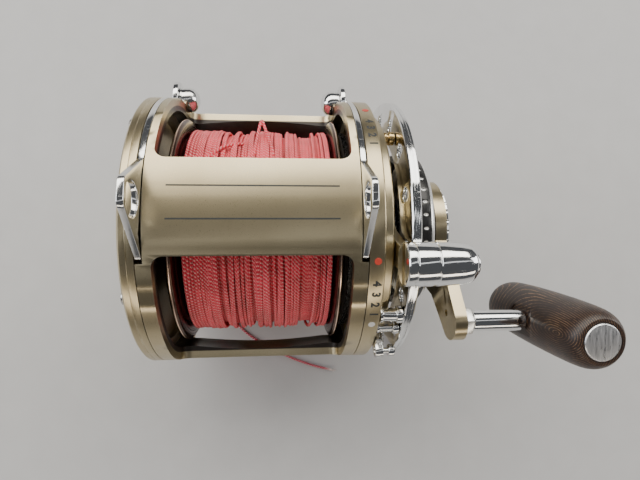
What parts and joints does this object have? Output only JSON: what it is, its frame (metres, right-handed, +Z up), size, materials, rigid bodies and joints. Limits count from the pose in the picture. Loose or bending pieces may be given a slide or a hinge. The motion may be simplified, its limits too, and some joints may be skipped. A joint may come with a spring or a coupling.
{
  "type": "trolling reel",
  "caption": "Lever-drag trolling fishing reel with a windowed barrel frame, harness lugs, red braided line, chrome quadrant and a wooden cross grip on the handle.",
  "frame": {"origin": "middle of the foot's flat underside, where it seats on a rod", "axes": "+X along the spool axis towards the handle, +Y forward to the rod tip, +Z up from the rod seat"},
  "size_m": [0.1862, 0.1493, 0.1485],
  "materials": {
    "gold_anodised": "champagne-gold anodised, satin, rubbed edges",
    "chrome": "bright chrome with light pitting and scratches",
    "steel": "turned stainless steel",
    "brass": "turned brass",
    "dark_anodised": "dark bronze anodised, turned, bright worn rims",
    "braided_line": "coral red braid, matt",
    "friction_fibre": "matt friction material",
    "black_plastic": "black with bright dimples",
    "wood": "oiled dark open-grained hardwood",
    "turned_aluminium": "brushed aluminium"
  },
  "bodies": {
    "reel_body": {"frame": "gold_anodised", "left_side_plate": "gold_anodised", "right_side_plate": "gold_anodised", "left_harness_plate": "chrome", "right_harness_plate": "chrome", "left_brace_nut": "chrome", "right_brace_nut": "chrome", "reel_foot": "gold_anodised", "foot_screw_1": "steel", "foot_screw_2": "steel", "foot_screw_3": "steel", "foot_screw_4": "steel", "left_bearing": "steel", "right_bearing": "steel", "bearing_cap": "chrome", "plate_screw_1": "steel", "plate_screw_2": "steel", "plate_screw_3": "steel", "plate_screw_4": "steel", "plate_screw_5": "steel", "quadrant_ring": "chrome", "quadrant_post_rear": "chrome", "quadrant_post_front": "chrome", "quadrant_post_lower": "chrome", "strike_stop": "brass", "free_stop": "chrome", "lock_bracket": "chrome", "lay_shaft": "steel", "pawl_pin": "steel", "line_tail": "braided_line"},
    "spool": {"spool": "dark_anodised", "line_pack": "braided_line", "spool_shaft": "steel", "click_wheel": "brass", "drag_washer": "friction_fibre"},
    "drag_plate": {"drag_plate": "steel", "drive_pinion": "steel"},
    "lay_gear": {"lay_gear": "steel"},
    "handle": {"handle_sleeve": "steel", "handle_gear": "brass", "ratchet_wheel": "steel", "handle_arm": "gold_anodised", "handle_cap": "chrome", "spindle_nut": "chrome", "grip_spindle": "chrome"},
    "grip": {"grip": "wood", "grip_plug_upper": "turned_aluminium", "grip_plug_lower": "turned_aluminium"},
    "lever": {"drag_lever": "gold_anodised", "lever_knob": "chrome", "lever_knob_screw": "chrome", "lever_cam": "steel"},
    "dial": {"preset_dial": "black_plastic", "spring_washer": "steel", "thrust_bearing": "steel"},
    "clicker": {"clicker_button": "chrome", "click_pawl": "steel"},
    "pawl": {"anti_reverse_pawl": "steel"},
    "lock_button": {"free_lock_button": "chrome"}
  },
  "joints": [
    {"name": "spool_spin", "type": "hinge", "parent": "reel_body", "child": "spool", "pos_m": [0, 0, 0.072], "axis": [1, 0, 0], "continuous": true},
    {"name": "drag_plate_spin", "type": "hinge", "parent": "reel_body", "child": "drag_plate", "pos_m": [0, 0, 0.072], "axis": [1, 0, 0], "continuous": true},
    {"name": "lay_gear_spin", "type": "hinge", "parent": "reel_body", "child": "lay_gear", "pos_m": [0, 0.015, 0.04602], "axis": [1, 0, 0], "continuous": true},
    {"name": "handle_turn", "type": "hinge", "parent": "reel_body", "child": "handle", "pos_m": [0, 0, 0.072], "axis": [1, 0, 0], "continuous": true},
    {"name": "grip_spin", "type": "hinge", "parent": "handle", "child": "grip", "pos_m": [0.1, -0.04447, 0.10066], "axis": [1, 0, 0], "continuous": true},
    {"name": "lever_swing", "type": "hinge", "parent": "reel_body", "child": "lever", "pos_m": [0, 0, 0.072], "axis": [-1, 0, 0], "range_deg": [-16.5, 48]},
    {"name": "dial_turn", "type": "hinge", "parent": "reel_body", "child": "dial", "pos_m": [0, 0, 0.072], "axis": [1, 0, 0], "range_deg": [-150, 150]},
    {"name": "clicker_slide", "type": "slide", "parent": "reel_body", "child": "clicker", "axis": [0, 0.7071, 0.7071], "range_m": [0, 0.0024]},
    {"name": "pawl_lift", "type": "hinge", "parent": "reel_body", "child": "pawl", "pos_m": [0, 0.02674, 0.07576], "axis": [-1, 0, 0], "range_deg": [-15.5, 3]},
    {"name": "lock_press", "type": "slide", "parent": "reel_body", "child": "lock_button", "axis": [-1, 0, 0], "range_m": [0, 0.0015], "stiffness_N_per_m": 200, "springref_m": -0.001}
  ],
  "couplings": [
    {"joint": "drag_plate_spin", "follows": "spool_spin", "ratio": 1},
    {"joint": "lay_gear_spin", "follows": "spool_spin", "ratio": -0.66667},
    {"joint": "handle_turn", "follows": "spool_spin", "ratio": 0.35897}
  ]
}
